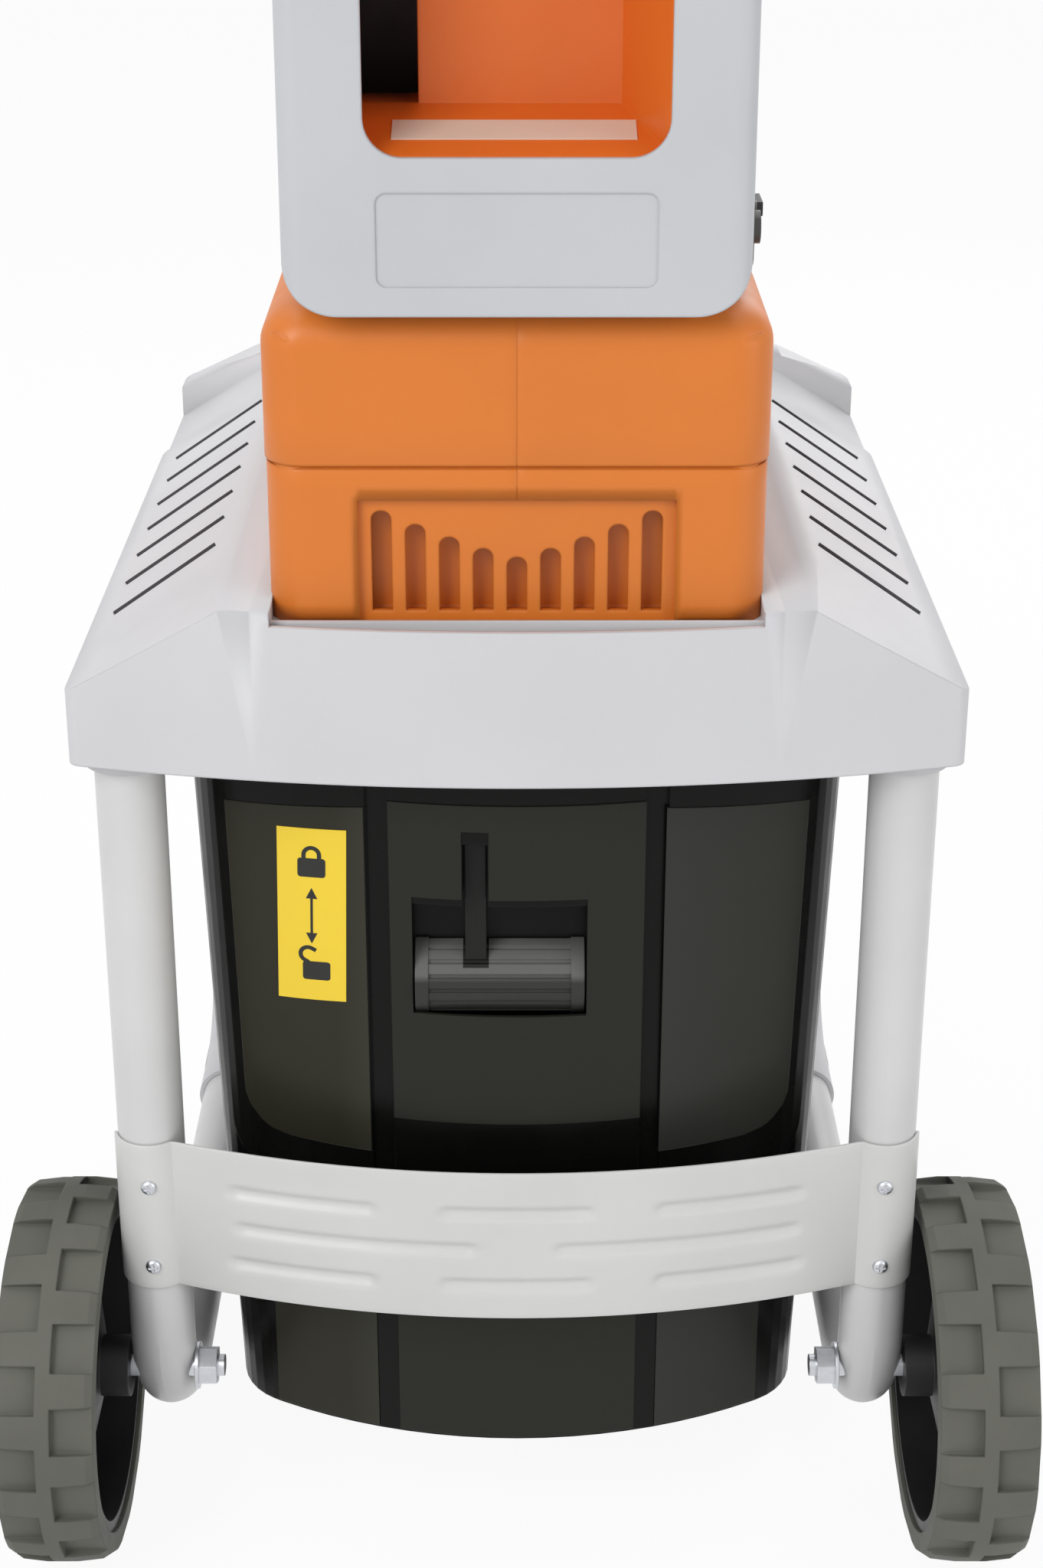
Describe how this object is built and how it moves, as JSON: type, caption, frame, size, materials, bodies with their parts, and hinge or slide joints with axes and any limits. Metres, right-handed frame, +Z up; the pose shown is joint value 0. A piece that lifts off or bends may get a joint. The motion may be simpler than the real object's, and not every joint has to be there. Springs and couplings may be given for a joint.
{
  "type": "garden shredder",
  "caption": "Electric garden shredder with a feed hopper, geared cutting roller and pull-out collecting bin on a wheeled tube frame.",
  "frame": {"origin": "floor point under the middle of the overall box", "axes": "+X to the right as seen from the front, +Y from the front to the rear, +Z up"},
  "size_m": [0.562, 0.58, 0.985],
  "materials": {
    "tube_grey": "satin",
    "shell_grey": "fine grain",
    "shell_orange": "fine grain",
    "bin_black": "gloss",
    "tread_grey": "matt",
    "rim_black": "matt",
    "dark_plastic": "matt",
    "zinc_steel": "zinc plated",
    "tool_steel": "ground",
    "gear_steel": "oiled",
    "cast_alloy": "as cast",
    "motor_iron": "lacquered",
    "can_grey": "satin",
    "start_green": "gloss",
    "stop_red": "gloss"
  },
  "bodies": {
    "base": {"left_frame_tube": "tube_grey", "right_frame_tube": "tube_grey", "front_cross_panel": "shell_grey", "left_rear_foot": "shell_grey", "right_rear_foot": "shell_grey", "base_cover": "shell_grey", "hopper_front": "shell_grey", "hopper_rear": "shell_grey", "lower_housing": "shell_orange", "upper_housing": "shell_orange", "hopper_liner": "shell_orange", "power_inlet": "rim_black", "switch_panel": "dark_plastic", "safety_switch": "dark_plastic", "cross_panel_screws": "zinc_steel", "axle_bolts": "zinc_steel", "axle_nuts": "zinc_steel", "base_screws": "zinc_steel", "hopper_screws": "zinc_steel", "gearbox_screws": "zinc_steel", "roller_bearings": "gear_steel", "chamber_frame": "cast_alloy", "gearbox_cover": "cast_alloy", "gearbox_housing": "cast_alloy", "motor_stator": "motor_iron", "motor_capacitor": "can_grey"},
    "left_wheel": {"left_tyre": "tread_grey", "left_rim": "rim_black", "left_hub_cap": "dark_plastic"},
    "right_wheel": {"right_tyre": "tread_grey", "right_rim": "rim_black", "right_hub_cap": "dark_plastic"},
    "bin_body": {"bin": "bin_black"},
    "bin_lock": {"lock_slider": "dark_plastic"},
    "roller": {"cutting_roller": "tool_steel", "roller_gear": "gear_steel"},
    "layshaft": {"layshaft_gear": "gear_steel"},
    "armature": {"motor_rotor": "gear_steel", "motor_fan": "dark_plastic"},
    "adjuster": {"adjusting_screw": "zinc_steel", "adjusting_knob": "dark_plastic"},
    "counter": {"counter_plate": "tool_steel"},
    "start": {"start_button": "start_green"},
    "stop": {"stop_button": "stop_red"},
    "reset": {"reset_button": "rim_black"},
    "selector": {"direction_selector": "rim_black"},
    "plunger": {"safety_plunger": "stop_red"}
  },
  "joints": [
    {"name": "left_wheel_spin", "type": "hinge", "parent": "base", "child": "left_wheel", "pos_m": [-0.2515, -0.185, 0.105], "axis": [1, 0, 0], "continuous": true},
    {"name": "right_wheel_spin", "type": "hinge", "parent": "base", "child": "right_wheel", "pos_m": [0.2515, -0.185, 0.105], "axis": [1, 0, 0], "continuous": true},
    {"name": "bin_slide", "type": "slide", "parent": "base", "child": "bin_body", "axis": [0, 1, 0], "range_m": [0, 0.45]},
    {"name": "bin_lock_slide", "type": "slide", "parent": "bin_body", "child": "bin_lock", "axis": [0, 0, 1], "range_m": [0, 0.025]},
    {"name": "roller_spin", "type": "hinge", "parent": "base", "child": "roller", "pos_m": [-0.0735, -0.1, 0.64], "axis": [1, 0, 0], "continuous": true},
    {"name": "layshaft_spin", "type": "hinge", "parent": "base", "child": "layshaft", "pos_m": [-0.02, -0.036, 0.64], "axis": [1, 0, 0], "continuous": true},
    {"name": "motor_spin", "type": "hinge", "parent": "base", "child": "armature", "pos_m": [0.05, 0.01213, 0.64], "axis": [1, 0, 0], "continuous": true},
    {"name": "adjuster_turn", "type": "hinge", "parent": "base", "child": "adjuster", "pos_m": [-0.0735, 0.09, 0.64], "axis": [0, 1, 0], "range_deg": [0, 720]},
    {"name": "counter_plate_slide", "type": "slide", "parent": "base", "child": "counter", "axis": [0, -1, 0], "range_m": [0, 0.003]},
    {"name": "start_button_push", "type": "slide", "parent": "base", "child": "start", "axis": [-1, 0, 0], "range_m": [0, 0.003], "stiffness_N_per_m": 300, "springref_m": -0.002},
    {"name": "stop_button_push", "type": "slide", "parent": "base", "child": "stop", "axis": [-1, 0, 0], "range_m": [0, 0.003], "stiffness_N_per_m": 300, "springref_m": -0.002},
    {"name": "reset_button_push", "type": "slide", "parent": "base", "child": "reset", "axis": [-1, 0, 0], "range_m": [0, 0.003], "stiffness_N_per_m": 300, "springref_m": -0.002},
    {"name": "direction_selector_turn", "type": "hinge", "parent": "base", "child": "selector", "pos_m": [0.1135, -0.115, 0.757], "axis": [1, 0, 0], "range_deg": [-40, 40]},
    {"name": "safety_plunger_push", "type": "slide", "parent": "base", "child": "plunger", "axis": [0, 0, 1], "range_m": [0, 0.003], "stiffness_N_per_m": 300, "springref_m": -0.002}
  ],
  "couplings": [
    {"joint": "layshaft_spin", "follows": "roller_spin", "ratio": -5.4},
    {"joint": "motor_spin", "follows": "roller_spin", "ratio": 32.4},
    {"joint": "adjuster_turn", "follows": "counter_plate_slide", "rad_per_m": 4188.8}
  ]
}
